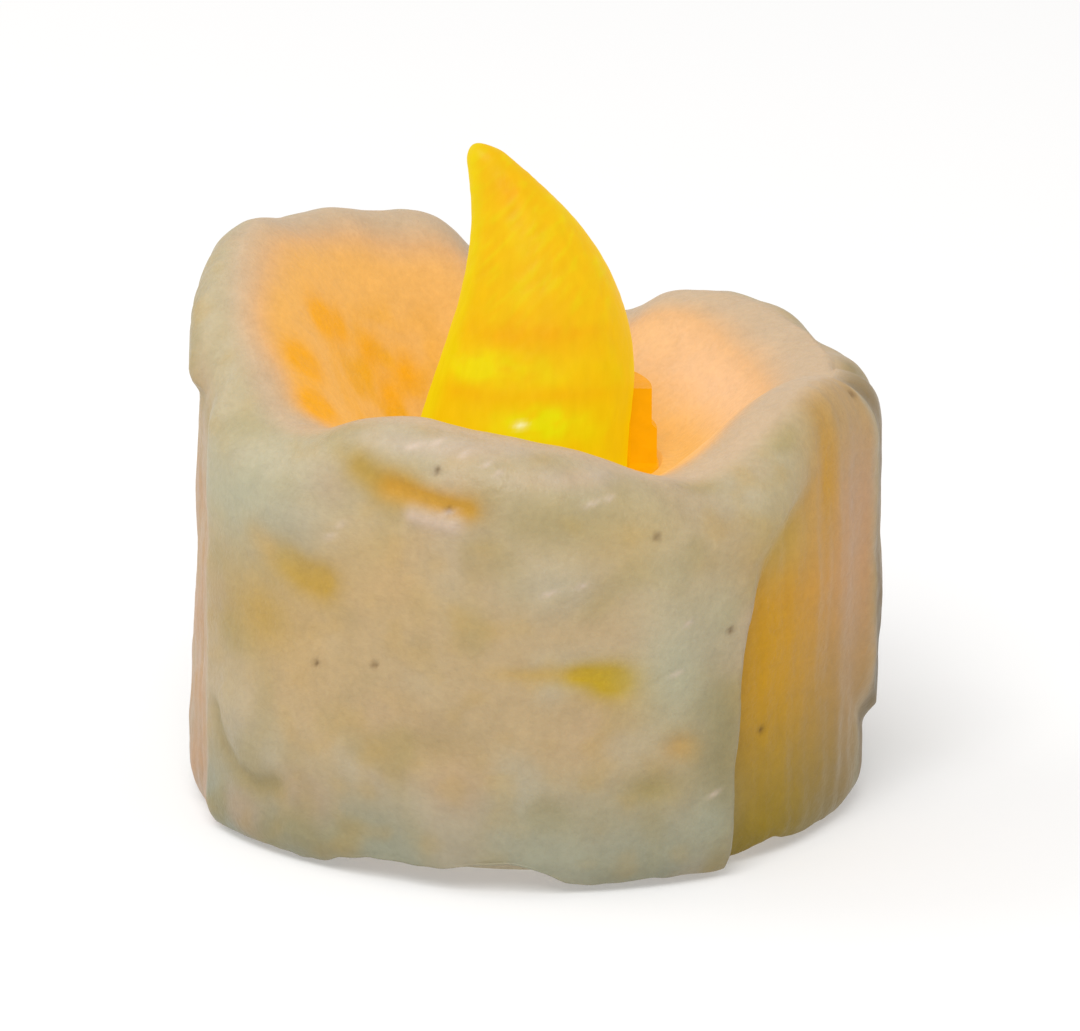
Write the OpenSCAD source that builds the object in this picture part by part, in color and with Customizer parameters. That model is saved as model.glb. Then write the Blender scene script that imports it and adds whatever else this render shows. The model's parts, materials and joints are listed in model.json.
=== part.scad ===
// Flameless candle: a dripped wax body over a plastic core, with an amber flame lit from inside by an LED.
// Origin: the centre of the foot, on the table. +Z is up and -Y is the front, where the rim dips lowest.
// An azimuth is in degrees round the body: 0 is the front, 90 is +X, 180 the back and 270 is -X.

/* [Wax body] */
// Radius of the wax wall between its drips
wax_r = 18.9; // [18.6:0.1:19.6]
// Height of the rim before its lobes are added
rim_h = 25.2; // [24:0.2:27]
// Radius of the circle that the rim's crest follows
crest_r = 16.8; // [16:0.1:17.2]
// Height of the floor of the well
well_z = 19.4; // [19:0.1:20]
// Gap between the table and the wax
wax_lift = 0.2; // [0.1:0.05:0.4]

/* [Flame] */
// Height of the flame's tip
flame_top = 38.2; // [36:0.2:40]
// Radius of the round neck that sits in the collar
neck_r = 5.2; // [4.8:0.05:5.2]
// Wall thickness of the flame
flame_wall = 1.0; // [0.8:0.1:1.2]

/* [Core] */
// Outer radius of the plastic core
core_r = 15.6; // [15.4:0.05:15.7]
// Wall thickness of the core housing
core_wall = 1.2; // [1:0.1:1.4]
// Height of the top of the core housing
core_top = 17.0; // [17:0.1:17.2]

/* [Battery] */
// Diameter of the coin cell
cell_d = 20; // [19:0.5:20]
// Thickness of the coin cell
cell_h = 3.2; // [2.5:0.1:3.2]

/* [Switch] */
// Travel of the switch knob
switch_travel = 2.0; // [1.5:0.1:2]

/* [Hidden] */
$fn = 64;
e = 0.01; // overshoot of a cut past the face it opens

// Wax mesh: steps round the body, up the wall, over the shoulder and down the well
wax_steps = 72;
wall_steps = 14;
shoulder_steps = 4;
well_steps = 8;
shoulder_h = 3.4;
edge_round = 2.0; // height of the rounding at the foot of the wall
edge_depth = 1.1;
foot_flare = 1.0; // how far the left side leans out towards the foot
side_swell = 0.3; // how far it stands out over its whole height
well_r = 8; // radius of the flat floor of the well
// Lobes and dips of the rim: azimuth, half-width in degrees, height
RIM = [
    [262, 26, 5.9], [222, 26, 5.1], [199, 10, 1.4], [206, 9, 0.9], [249, 8, 0.6], [336, 18, 1.0],
    [307, 14, -1.2], [30, 19, -2.7], [66, 13, 0.8], [88, 12, -0.6], [140, 18, 0.8], [163, 9, -1.6]
];
// Drips over the wall: azimuth, half-width in degrees, height of the lower end, thickness,
// and the degrees over which a side falls to the wall
DRIPS = [
    [345, 54, -6, 0.7, 8], [12, 28, -6, 1.5, 4], [92, 19, 3.4, 0.9, 8], [272, 34, 23.7, 0.7, 10],
    [135, 13, 7.5, 1.0, 14], [163, 11, 1.5, 1.1, 12], [199, 15, 5.5, 1.2, 14], [236, 15, 10, 1.1, 14]
];
tip_h = 5; // height over which a drip narrows to its end
end_h = 2; // height over which its thickness fades there

// Flame outline, in the X-Z plane above the neck: control points of its left and right edges
neck_z = core_top;
bulge_z = 21.5;
FLAME_LEFT = [[-6.7, bulge_z], [-5.0, 27.0], [-2.7, 31.5], [-4.0, flame_top - 0.6]];
FLAME_RIGHT = [[5.3, bulge_z], [5.9, 29.0], [3.3, 35.4], [-2.4, flame_top - 0.2]];
flame_flat = 0.8; // depth of the flame over its width
flame_sides = 32;
flame_steps = 12;
cavity_end = 0.72; // share of the flame's height that is hollow

// Collar that holds the flame's neck
collar_in = neck_r + 0.2;
collar_r = 7.0;
collar_h = 2.2;
guard_r = 6.9; // outer radius of the guard beside the flame, at its foot
guard_z = 23.6;
guard_step_z = 21.2; // top of the guard's thicker foot
guard_from = 88;
guard_to = 150;
collar_hole_r = collar_r + 0.2;

// LED
led_r = 2.5;
led_flange_r = 2.9;
led_flange_h = 1.0;
led_body_h = 5.1;
roof_z = core_top - core_wall;
lead_x = 1.27;
lead_w = 0.5;
lead_hole_r = 0.45;

// Base, from the table up
foot_h = 0.5;
foot_w = 1.2;
plate_top = 2.5;
board_z = 6.2;
board_h = 1.0;
board_r = 13.8;
wall_in = core_r - core_wall;
wax_bore_r = core_r + 0.2;
cell_x = -2.6;
cell_y = -0.4;
cell_z = 1.8;
bay_r = cell_d / 2 + 0.2;
bay_wall = 1.1;

// Battery door and its hinge
door_z = 0.6;
door_h = 1.0;
door_r = 13.9;
door_right = 6.9;
door_front = -10.9;
door_gap = 0.2;
hinge_y = -12.2;
hinge_z = 1.1;
knuckle_r = 0.8;
knuckle_w = 6.0;
pin_r = 0.5;
pin_len = 1.2;
pin_gap = 0.05;
ear_w = 1.5;
screw_y = 11.7; // the door's screw
boss_r = 2.0;
door_bore_r = 1.4; // clear of the screw and its keeper, which swing out with the door
door_screw_r = 0.7;
door_screw_z = 0.36;
keeper_r = 1.0;
keeper_h = 0.4;
screw_travel = 2.5; // how far the screw backs out before its keeper meets the door

// Base screws
base_screw_x = 9.5;
base_screw_y = 8.3;
housing_boss_r = 2.0;
screw_bore_r = 0.8;

// Slide switch, under the board
switch_x = 11.0;
switch_w = 3.7;
switch_l = 8.6;
switch_low = 2.7;
switch_mid = 5.3;
sheet = 0.25; // thickness of the frame's steel and of the contacts
knob_w = 1.5;
knob_l = 2.0;
pin_pitch = 2.0;

// ---- shapes shared by several parts ----

function turn(a, b) = let (d = abs(a - b) % 360) min(d, 360 - d);
function bump(a, centre, width) = exp(-pow(turn(a, centre) / width, 2));
function smooth(t) = let (c = min(max(t, 0), 1)) c * c * (3 - 2 * c);
function total(v, i = 0) = i < len(v) ? v[i] + total(v, i + 1) : 0;
function bezier(p, t) =
    pow(1 - t, 3) * p[0] + 3 * t * pow(1 - t, 2) * p[1] + 3 * t * t * (1 - t) * p[2] + pow(t, 3) * p[3];
function at(r, a, z) = [r * sin(a), -r * cos(a), z];

// A closed skin over rings of n points each, from the first ring to the last, with both ends capped.
module skin(rings) {
    n = len(rings[0]);
    last = len(rings) - 1;
    sides = [
        for (k = [0 : last - 1], i = [0 : n - 1])
            let (j = (i + 1) % n)
            each [
                [k * n + i, (k + 1) * n + i, (k + 1) * n + j],
                [k * n + i, (k + 1) * n + j, k * n + j]
            ]
    ];
    low_cap = [for (i = [1 : n - 2]) [0, i, i + 1]];
    high_cap = [for (i = [1 : n - 2]) [last * n, last * n + i + 1, last * n + i]];
    polyhedron(points = [for (r = rings) each r], faces = concat(sides, low_cap, high_cap));
}

// A pan-head screw pointing up, with a cross recess in its head, standing on z = 0.
module screw(head_r, head_h, shank_r, length) {
    difference() {
        cylinder(r = head_r, h = head_h);
        for (quarter = [0, 90])
            rotate(quarter) translate([-head_r * 0.62, -0.16, -e]) cube([head_r * 1.24, 0.32, head_h * 0.6]);
    }
    translate([0, 0, head_h - e]) cylinder(r = shank_r, h = length - 0.6 + e);
    translate([0, 0, head_h + length - 0.6 - e]) cylinder(r1 = shank_r, r2 = shank_r * 0.4, h = 0.6);
}

// The cell bay's centre.
module at_cell() {
    translate([cell_x, cell_y, 0]) children();
}

module at_base_screws() {
    for (side = [-1, 1])
        translate([base_screw_x, side * base_screw_y, 0]) children();
}

module at_leads() {
    for (side = [-1, 1])
        translate([side * lead_x, 0, 0]) children();
}

// ---- wax ----

function rim_z(a) = rim_h + total([for (l = RIM) l[2] * bump(a, l[0], l[1])]);

// How far the drips stand out of the wall. A drip keeps its width down to tip_h above its end.
function drip(a, z) = max([
    for (d = DRIPS)
        let (half = d[1] * sqrt(smooth((z - d[2]) / tip_h)))
        d[3] * smooth((half - turn(a, d[0])) / d[4] + 0.5) * smooth((z - d[2]) / end_h)
]);
function wall_r(a, z) =
    wax_r + bump(a, 275, 45) * (side_swell + foot_flare * (1 - z / rim_h)) + drip(a, z)
    - edge_depth * pow(1 - min(z / edge_round, 1), 2);

function wall_point(a, k) =
    let (z = wax_lift + (rim_z(a) - shoulder_h - wax_lift) * pow(k / wall_steps, 1.15))
    at(wall_r(a, z), a, z);
function shoulder_point(a, k) =
    let (low = rim_z(a) - shoulder_h, out = wall_r(a, low), t = 90 * k / shoulder_steps)
    at(crest_r + (out - crest_r) * cos(t), a, low + shoulder_h * sin(t));
function well_point(a, k) =
    let (t = 1 - k / well_steps)
    at(well_r + (crest_r - well_r) * t, a, well_z + (rim_z(a) - well_z) * smooth(pow(t, 0.85)));

module wax_shell() {
    azimuths = [for (i = [0 : wax_steps - 1]) 360 * i / wax_steps];
    rings = [
        for (k = [0 : wall_steps]) [for (a = azimuths) wall_point(a, k)],
        for (k = [1 : shoulder_steps]) [for (a = azimuths) shoulder_point(a, k)],
        for (k = [1 : well_steps]) [for (a = azimuths) well_point(a, k)]
    ];
    color("antiquewhite")
        difference() {
            skin(rings);
            translate([0, 0, -e]) cylinder(r = wax_bore_r, h = core_top + 0.2 + e);
            cylinder(r = collar_hole_r, h = flame_top);
        }
}

// ---- flame ----

// A ring across the flame: t runs from 0 at the bulge to 1 at the tip, and inset is the wall taken off.
function flame_ring(t, inset) =
    let (
        left = bezier(FLAME_LEFT, t),
        right = bezier(FLAME_RIGHT, t),
        middle = (left + right) / 2,
        half = (right - left) / 2,
        shrink = 1 - inset / norm(half),
        deep = norm(half) * flame_flat * shrink
    )
    [
        for (i = [0 : flame_sides - 1])
            let (a = 360 * i / flame_sides)
            [
                middle.x + half.x * shrink * cos(a),
                deep * sin(a),
                middle.y + half.y * shrink * cos(a)
            ]
    ];
function neck_ring(z, r) = [
    for (i = [0 : flame_sides - 1])
        let (a = 360 * i / flame_sides)
        [r * cos(a), r * sin(a), z]
];

module flame_cap() {
    outer = [
        neck_ring(neck_z, neck_r),
        neck_ring(neck_z + 2, neck_r),
        for (k = [0 : flame_steps]) flame_ring(k / flame_steps, 0)
    ];
    inner = [
        neck_ring(neck_z - 0.1, neck_r - flame_wall),
        neck_ring(neck_z + 2, neck_r - flame_wall),
        for (k = [0 : flame_steps - 2]) flame_ring(cavity_end * k / (flame_steps - 2), flame_wall)
    ];
    color("gold")
        difference() {
            skin(outer);
            skin(inner);
        }
}

module flame_collar() {
    color("orange")
        difference() {
            union() {
                translate([0, 0, core_top]) cylinder(r = collar_r, h = collar_h);
                rotate([0, 0, guard_from - 90])
                    rotate_extrude(angle = guard_to - guard_from)
                        polygon([
                            [collar_in - 0.2, core_top + 1], [guard_r, core_top + 1], [guard_r, guard_step_z],
                            [guard_r - 0.3, guard_step_z + 0.3], [guard_r - 0.3, guard_z],
                            [collar_in - 0.2, guard_z]
                        ]);
            }
            translate([0, 0, core_top - e]) cylinder(r = collar_in, h = guard_z);
        }
}

// ---- LED ----

module led_lens() {
    color("orange", 0.8) {
        translate([0, 0, roof_z - led_flange_h]) cylinder(r = led_flange_r, h = led_flange_h);
        translate([0, 0, roof_z - e]) cylinder(r = led_r, h = led_body_h + e);
        translate([0, 0, roof_z + led_body_h]) sphere(r = led_r);
    }
}

module led_leads() {
    low = board_z - 0.45;
    color("silver")
        at_leads()
            translate([-lead_w / 2, -lead_w / 2, low]) cube([lead_w, lead_w, roof_z - led_flange_h - low]);
}

module led_spacer() {
    low = board_z + board_h;
    color("white")
        difference() {
            translate([0, 0, low]) cylinder(r = led_flange_r, h = roof_z - led_flange_h - low);
            at_leads() translate([0, 0, low - e]) cylinder(r = lead_hole_r, h = 20);
        }
}

// ---- core housing ----

module core_housing() {
    color("ivory")
        difference() {
            union() {
                translate([0, 0, plate_top])
                    difference() {
                        cylinder(r = core_r, h = core_top - plate_top);
                        translate([0, 0, -e]) cylinder(r = wall_in, h = roof_z - plate_top + e);
                    }
                intersection() {
                    union() {
                        at_base_screws()
                            translate([0, 0, plate_top])
                                cylinder(r = housing_boss_r, h = core_top - plate_top - 0.5);
                        for (a = [120, 180, 240])
                            rotate(a)
                                translate([board_r - 1.2, -0.6, board_z + board_h])
                                    cube([2.2, 1.2, roof_z - board_z - board_h + 0.5]);
                    }
                    cylinder(r = core_r - 0.3, h = core_top);
                }
            }
            translate([0, 0, roof_z - 1]) cylinder(r = led_r + 0.05, h = 4);
            at_base_screws() translate([0, 0, plate_top - e]) cylinder(r = screw_bore_r, h = 7);
        }
}

// ---- circuit board and what is soldered to it ----

module circuit_board() {
    color("seagreen")
        translate([0, 0, board_z])
            difference() {
                cylinder(r = board_r, h = board_h);
                at_base_screws() translate([0, 0, -e]) cylinder(r = housing_boss_r + 0.3, h = 2);
                at_leads() translate([0, 0, -e]) cylinder(r = lead_hole_r, h = 2);
                for (k = [-1 : 1])
                    translate([switch_x, k * pin_pitch, -e]) cylinder(r = 0.4, h = 2);
            }
}

module timer_chip() {
    body_w = 3.9;
    body_l = 4.9;
    color("dimgray")
        translate([-7.5, 4.5, board_z + board_h]) {
            translate([-body_w / 2, -body_l / 2, 0.15]) cube([body_w, body_l, 1.4]);
            for (side = [-1, 1], k = [0 : 3])
                translate([side * (body_w / 2 + 0.35) - 0.5, (k - 1.5) * 1.27 - 0.2, 0])
                    cube([1.0, 0.4, 0.25]);
        }
}

module crystal_can() {
    color("silver")
        translate([-10, -5, board_z + board_h + 1.0])
            rotate([0, 90, 0]) {
                cylinder(r = 1.0, h = 6);
                for (side = [-1, 1])
                    translate([0, side * 0.35, 6 - e]) cylinder(r = 0.15, h = 1.6);
            }
}

module chip_parts() {
    color("sandybrown")
        for (k = [0 : 2])
            translate([3.5, -9 + 2.2 * k, board_z + board_h]) cube([1.6, 0.8, 0.5]);
}

// ---- slide switch ----

module switch_frame() {
    color("silver")
        translate([switch_x, 0, switch_low])
            difference() {
                translate([-switch_w / 2, -switch_l / 2, 0])
                    cube([switch_w, switch_l, switch_mid - switch_low]);
                translate([-switch_w / 2 + sheet, -switch_l / 2 + sheet, sheet])
                    cube([switch_w - 2 * sheet, switch_l - 2 * sheet, 4]);
                translate([-knob_w / 2 - 0.1, -(knob_l + switch_travel) / 2 - 0.1, -e])
                    cube([knob_w + 0.2, knob_l + switch_travel + 0.2, 1]);
            }
}

module switch_base() {
    color("saddlebrown")
        translate([switch_x, 0, switch_mid])
            difference() {
                translate([-switch_w / 2, -switch_l / 2, 0]) cube([switch_w, switch_l, board_z - switch_mid]);
                for (k = [-1 : 1])
                    translate([0, k * pin_pitch, -e]) cylinder(r = 0.32, h = 2);
            }
}

module switch_pins() {
    color("silver")
        for (k = [-1 : 1])
            translate([switch_x - 0.2, k * pin_pitch - 0.15, switch_mid - 0.3])
                cube([0.4, 0.3, board_z + board_h + 0.8 - switch_mid + 0.3]);
}

// The knob stands at the front end of its travel, where the light is on.
module switch_knob() {
    color("black")
        translate([switch_x, -switch_travel / 2, 0]) {
            translate([-knob_w / 2, -knob_l / 2, 0.35]) cube([knob_w, knob_l, 3.2 - 0.35]);
            translate([-1.3, -1.8, 3.1]) cube([2.6, 3.6, 1.4]);
        }
}

// ---- battery and its contacts ----

// A leaf soldered under the board, whose finger presses on the cell's cap.
module negative_contact() {
    top = cell_z + cell_h;
    color("silver")
        translate([0, cell_y + 2.5, 0])
            rotate([90, 0, 0])
                linear_extrude(5)
                    polygon([
                        [-9.5, board_z], [-9.5, board_z - sheet], [-6.2, board_z - sheet], [-3.9, top + 0.02],
                        [-3.1, top + 0.02], [-2.5, top + 0.4], [-2.7, top + 0.55], [-3.2, top + 0.27],
                        [-3.8, top + 0.27], [-6.1, board_z]
                    ]);
}

// A clip in a slot of the bay's wall, which touches the cell's side.
module positive_contact() {
    color("silver")
        at_cell()
            rotate(45) {
                translate([cell_d / 2 + 0.05, -1.4, plate_top + 0.1])
                    cube([sheet, 2.8, board_z - plate_top - 0.1]);
                translate([cell_d / 2 + 0.05, -1.4, board_z - sheet]) cube([2.0, 2.8, sheet]);
            }
}

module cell_can() {
    color("silver")
        at_cell()
            difference() {
                translate([0, 0, cell_z]) cylinder(d = cell_d, h = cell_h - 0.2);
                translate([0, 0, cell_z + 0.3]) cylinder(d = cell_d - 0.6, h = cell_h);
            }
}

module cell_gasket() {
    color("dimgray")
        at_cell()
            translate([0, 0, cell_z + 0.3])
                difference() {
                    cylinder(d = cell_d - 0.6, h = cell_h - 0.5);
                    translate([0, 0, 0.4]) cylinder(d = cell_d - 2.0, h = cell_h);
                }
}

module cell_cap() {
    color("silver")
        at_cell()
            translate([0, 0, cell_z + 0.7]) cylinder(d = cell_d - 2.0, h = cell_h - 0.7);
}

// ---- base plate ----

// The door's outline, larger by grow on every side.
module door_outline(grow) {
    intersection() {
        circle(r = door_r + grow);
        translate([-20, door_front - grow]) square([20 + door_right + grow, 40]);
    }
}

module hinge_ears() {
    for (side = [0, 1])
        mirror([side, 0, 0])
            translate([knuckle_w / 2 + 0.3, hinge_y - 1.0, 0.2]) cube([ear_w, 1.8, plate_top - 0.2]);
}

module base_plate() {
    color("ivory")
        difference() {
            union() {
                difference() {
                    cylinder(r = core_r, h = plate_top);
                    translate([0, 0, -e]) cylinder(r = core_r - foot_w, h = foot_h + e);
                }
                translate([cell_x, 0, 0]) hinge_ears();
                translate([cell_x, 0, plate_top - e]) {
                    translate([0, cell_y, 0]) cylinder(r = bay_r + bay_wall, h = board_z - plate_top + e);
                    translate([0, screw_y, 0]) cylinder(r = boss_r, h = board_z - plate_top + e);
                }
            }
            at_cell() translate([0, 0, -e]) cylinder(r = bay_r, h = board_z + 1);
            translate([0, 0, -e]) linear_extrude(door_z + door_h + 0.15 + e) door_outline(door_gap);
            // pocket of the hinge knuckle
            translate([cell_x - knuckle_w / 2 - 0.3, hinge_y - 1.1, -e])
                cube([knuckle_w + 0.6, door_front - hinge_y + 1.1, hinge_z + knuckle_r + 0.2 + e]);
            translate([cell_x, hinge_y, hinge_z])
                rotate([0, 90, 0])
                    cylinder(r = pin_r + pin_gap, h = knuckle_w + 2 * pin_len + 0.4, center = true);
            translate([cell_x, screw_y, -e]) cylinder(r = door_bore_r, h = board_z - 0.6);
            at_base_screws() {
                translate([0, 0, -e]) cylinder(r = 1.9, h = 1.8);
                translate([0, 0, -e]) cylinder(r = 1.1, h = 4);
            }
            // slot and finger dish of the switch knob
            translate([switch_x - 1.6, -3.6, -e]) cube([3.2, 7.2, 1.0]);
            translate([switch_x - knob_w / 2 - 0.2, -(knob_l + switch_travel) / 2 - 0.2, -e])
                cube([knob_w + 0.4, knob_l + switch_travel + 0.4, 4]);
            // slot of the positive contact
            at_cell()
                rotate(45) translate([bay_r - 0.6, -1.6, plate_top + 0.05]) cube([2.6, 3.2, 5]);
        }
}

module base_screws() {
    color("silver")
        at_base_screws() translate([0, 0, 0.75]) screw(1.7, 1.04, 0.75, 6);
}

// ---- battery door ----

module battery_door() {
    color("ivory")
        difference() {
            union() {
                translate([0, 0, door_z]) linear_extrude(door_h) door_outline(0);
                translate([cell_x - knuckle_w / 2, hinge_y, door_z])
                    cube([knuckle_w, door_front - hinge_y + 1, door_h]);
                translate([cell_x - knuckle_w / 2, hinge_y, hinge_z])
                    rotate([0, 90, 0]) cylinder(r = knuckle_r, h = knuckle_w);
                translate([cell_x - knuckle_w / 2 - pin_len, hinge_y, hinge_z])
                    rotate([0, 90, 0]) cylinder(r = pin_r, h = knuckle_w + 2 * pin_len);
                // pads that hold the cell up
                at_cell()
                    for (a = [60, 180, 300])
                        rotate(a) translate([6, 0, door_z + door_h - e]) cylinder(r = 1.2, h = 0.18 + e);
            }
            translate([cell_x, screw_y, -e]) cylinder(r = 0.85, h = 4);
            translate([cell_x, screw_y, -e]) cylinder(r = 1.6, h = door_z + 0.55 + e);
            // finger notch
            translate([door_right, 5.5, door_z - e]) cylinder(r = 1.5, h = 0.5);
        }
}

module door_screw() {
    color("silver")
        translate([cell_x, screw_y, door_screw_z]) screw(1.45, 0.78, door_screw_r, 4.2);
}

// The ring on the screw's shank that keeps it in the door.
module screw_keeper() {
    color("dimgray")
        translate([cell_x, screw_y, door_z + door_h + screw_travel + 0.02])
            difference() {
                cylinder(r = keeper_r, h = keeper_h);
                translate([0, 0, -e]) cylinder(r = door_screw_r + 0.02, h = keeper_h + 2 * e);
            }
}

wax_shell();
flame_cap();
flame_collar();
led_lens();
led_leads();
led_spacer();
core_housing();
circuit_board();
timer_chip();
crystal_can();
chip_parts();
switch_frame();
switch_base();
switch_pins();
switch_knob();
negative_contact();
positive_contact();
cell_can();
cell_gasket();
cell_cap();
base_plate();
base_screws();
battery_door();
door_screw();
screw_keeper();
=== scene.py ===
import json
import math

import bpy
import numpy as np
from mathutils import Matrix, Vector, noise


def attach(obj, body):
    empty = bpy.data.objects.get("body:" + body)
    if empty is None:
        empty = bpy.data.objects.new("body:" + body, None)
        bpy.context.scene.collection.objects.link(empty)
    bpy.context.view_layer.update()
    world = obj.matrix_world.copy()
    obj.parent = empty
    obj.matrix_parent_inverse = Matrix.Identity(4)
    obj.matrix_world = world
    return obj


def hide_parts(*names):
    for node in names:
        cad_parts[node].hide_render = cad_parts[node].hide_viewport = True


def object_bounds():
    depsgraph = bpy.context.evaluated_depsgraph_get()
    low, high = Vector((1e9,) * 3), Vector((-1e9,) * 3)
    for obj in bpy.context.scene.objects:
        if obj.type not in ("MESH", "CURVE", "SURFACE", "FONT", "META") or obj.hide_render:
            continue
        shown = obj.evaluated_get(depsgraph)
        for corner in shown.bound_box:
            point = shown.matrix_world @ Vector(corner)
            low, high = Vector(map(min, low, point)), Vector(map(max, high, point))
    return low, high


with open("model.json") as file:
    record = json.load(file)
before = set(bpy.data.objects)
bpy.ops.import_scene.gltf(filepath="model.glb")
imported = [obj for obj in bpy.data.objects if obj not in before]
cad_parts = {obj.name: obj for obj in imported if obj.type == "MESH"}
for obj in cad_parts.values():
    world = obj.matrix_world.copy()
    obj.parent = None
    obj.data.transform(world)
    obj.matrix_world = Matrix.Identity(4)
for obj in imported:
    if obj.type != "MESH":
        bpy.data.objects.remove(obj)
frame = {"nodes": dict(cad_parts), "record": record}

# A flameless LED candle: dripped wax round a plastic core, with a hollow amber flame that is lit from inside.
# Shapes are worked out in millimetres and become metres when a mesh is made. An azimuth is in degrees, with
# 0 at the front (-Y) and 90 at the right (+X).

MM = 0.001
cad_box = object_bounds()
BOX_LOW, BOX_HIGH = (np.array(corner) / MM for corner in cad_box)


def smooth(x):
    x = np.clip(x, 0, 1)
    return x * x * (3 - 2 * x)


def ramp(x, start, end):
    """From 0 where x is at start to 1 where it is at end, with soft ends."""
    return smooth((x - start) / (end - start))


def turn(a, centre):
    """How far azimuth a is from the centre, from -180 to 180 degrees."""
    return (a - centre + 180) % 360 - 180


def bump(a, centre, spread):
    return np.exp(-(turn(a, centre) / spread) ** 2)


def bumps(a, table):
    """The sum of a table's bumps: azimuth, spread, height."""
    return sum(height * bump(a, centre, spread) for centre, spread, height in table)


def mark(u, v, half_u, half_v):
    return np.exp(-((u / half_u) ** 2) - (v / half_v) ** 2)


def stroke(u, v, points, half_width):
    """How near each place is to a line through the points, from 1 on the line to 0."""
    nearest = np.full(u.shape, np.inf)
    for (u0, v0), (u1, v1) in zip(points, points[1:]):
        du, dv = u1 - u0, v1 - v0
        along = np.clip(((u - u0) * du + (v - v0) * dv) / (du * du + dv * dv), 0, 1)
        nearest = np.minimum(nearest, np.hypot(u - u0 - along * du, v - v0 - along * dv))
    return np.exp(-((nearest / half_width) ** 2))


def lumpy(points, scale, seed):
    """Smooth noise from about -1 to 1 at each point, with lumps about `scale` millimetres across. Each use
    has a seed of its own."""
    shift = Vector((17.3, 5.1, 11.7)) * seed
    flat = (points.reshape(-1, 3) / scale).tolist()
    return np.array([noise.noise(Vector(p) + shift) for p in flat]).reshape(points.shape[:-1])


# ---- the wax body's form ----
# The rim, the wall, the shoulder and the drips follow the CAD model's formulas. The bowl is a little fuller
# than there, and the edges of the two coats on the front are shaped more finely.

WAX_R = 18.9
RIM_H = 25.2
CREST_R = 16.8
WELL_R = 8.0
WELL_Z = 19.4
WELL_POWER = 0.72
HOLE_R = 7.2
BORE_R = 15.8
BORE_TOP = 17.2
WAX_LIFT = 0.2
SHOULDER_H = 3.4
EDGE_ROUND = 2.0
EDGE_DEPTH = 1.1
FOOT_FLARE = 1.0
SIDE_SWELL = 0.3
FLARE_AZIMUTH, FLARE_SPREAD = 275, 45
TIP_H = 5.0
END_H = 2.0
# Lobes and dips of the rim: azimuth, spread, height
RIM = (
    (262, 26, 5.9), (222, 26, 5.1), (199, 10, 1.4), (206, 9, 0.9), (249, 8, 0.6), (336, 18, 1.0),
    (307, 14, -1.2), (30, 19, -2.7), (66, 13, 0.8), (88, 12, -0.6), (140, 18, 0.8), (163, 9, -1.6),
)
# How far the rim's top wavers, and over what distance
RIM_WAVER, RIM_WAVER_SIZE = 0.22, 3.5
# Drips that end on the wall: azimuth, half-width, lower end, thickness, softness of the sides
DRIPS = (
    (92, 19, 3.4, 0.9, 8), (272, 34, 23.7, 0.7, 10), (135, 13, 7.5, 1.0, 14),
    (163, 11, 1.5, 1.1, 12), (199, 15, 5.5, 1.2, 14), (236, 15, 10, 1.1, 14),
)
# The two coats that run down the front: azimuth of the left edge, thickness, softness of that edge
FRONT_COATS = ((-69, 0.7, 8), (-22, 1.5, 34))
# Where the front coats end on the right: height, azimuth
COAT_EDGE = (
    (-1, 33), (4.2, 34), (7.7, 34.9), (11.1, 35.2), (14.5, 36.7), (17.8, 39.7), (20.7, 47.5), (25, 54),
)
# Over how many degrees they end there: low down, high up, and the heights between which that changes
EDGE_SOFT_LOW, EDGE_SOFT_HIGH = 3.0, 15.0
EDGE_SOFT_FROM, EDGE_SOFT_TO = 15, 21
# Where the wax ends raggedly above its lower edge: azimuth, spread, height
NICKS = ((-6, 14, 0.4), (45, 6, 0.5))
LONG_NICK_H = 0.65
# Waver of that end: size, height, seed
BOTTOM_WAVER = ((3.0, 0.3, 1), (1.1, 0.15, 2))
BOTTOM_LIFT = 0.25


def rim_z(a):
    return RIM_H + bumps(a, RIM)


def coat_edge(z):
    heights, azimuths = zip(*COAT_EDGE)
    return np.interp(z, heights, azimuths)


def edge_softness(z):
    """The coats end in a step low down, and run into the wall higher up."""
    return EDGE_SOFT_LOW + (EDGE_SOFT_HIGH - EDGE_SOFT_LOW) * ramp(z, EDGE_SOFT_FROM, EDGE_SOFT_TO)


def coat(a, z):
    """How thick the drips and coats lie on the wall."""
    thick = np.zeros(np.broadcast(a, z).shape)
    for centre, half_width, low, thickness, softness in DRIPS:
        half = half_width * np.sqrt(smooth((z - low) / TIP_H))
        side = smooth((half - abs(turn(a, centre))) / softness + 0.5)
        thick = np.maximum(thick, thickness * side * smooth((z - low) / END_H))
    right = smooth((coat_edge(z) - turn(a, 0)) / edge_softness(z) + 0.5)
    for left, thickness, softness in FRONT_COATS:
        side = smooth((turn(a, 0) - left) / softness + 0.5)
        thick = np.maximum(thick, thickness * side * right)
    return thick


def wall_r(a, z):
    lean = bump(a, FLARE_AZIMUTH, FLARE_SPREAD) * (SIDE_SWELL + FOOT_FLARE * (1 - z / RIM_H))
    undercut = EDGE_DEPTH * (1 - np.minimum(z / EDGE_ROUND, 1)) ** 2
    return WAX_R + lean + coat(a, z) - undercut


def well_z(share, rim):
    """Height of the bowl's surface; share is 0 at the well's flat floor and 1 at the rim's crest."""
    return WELL_Z + (rim - WELL_Z) * smooth(share ** WELL_POWER)


def bare(side, z):
    """1 where the wall has no coat, right of the front coats and left of the next drip."""
    return smooth((side - coat_edge(z)) / edge_softness(z) + 0.3) * (1 - ramp(side, 72.5, 77.5))


def bare_left(side):
    """1 just left of the front coats, and less and less towards the back."""
    return ramp(side, -65.5, -68.5) * ramp(side, -122, -77)


# ---- colours, as sRGB values from 0 to 255 ----

# What the studio light multiplies a matt colour by, and the white sheen that it adds
STUDIO_LIGHT = 1.30
SHEEN = 0.025


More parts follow.
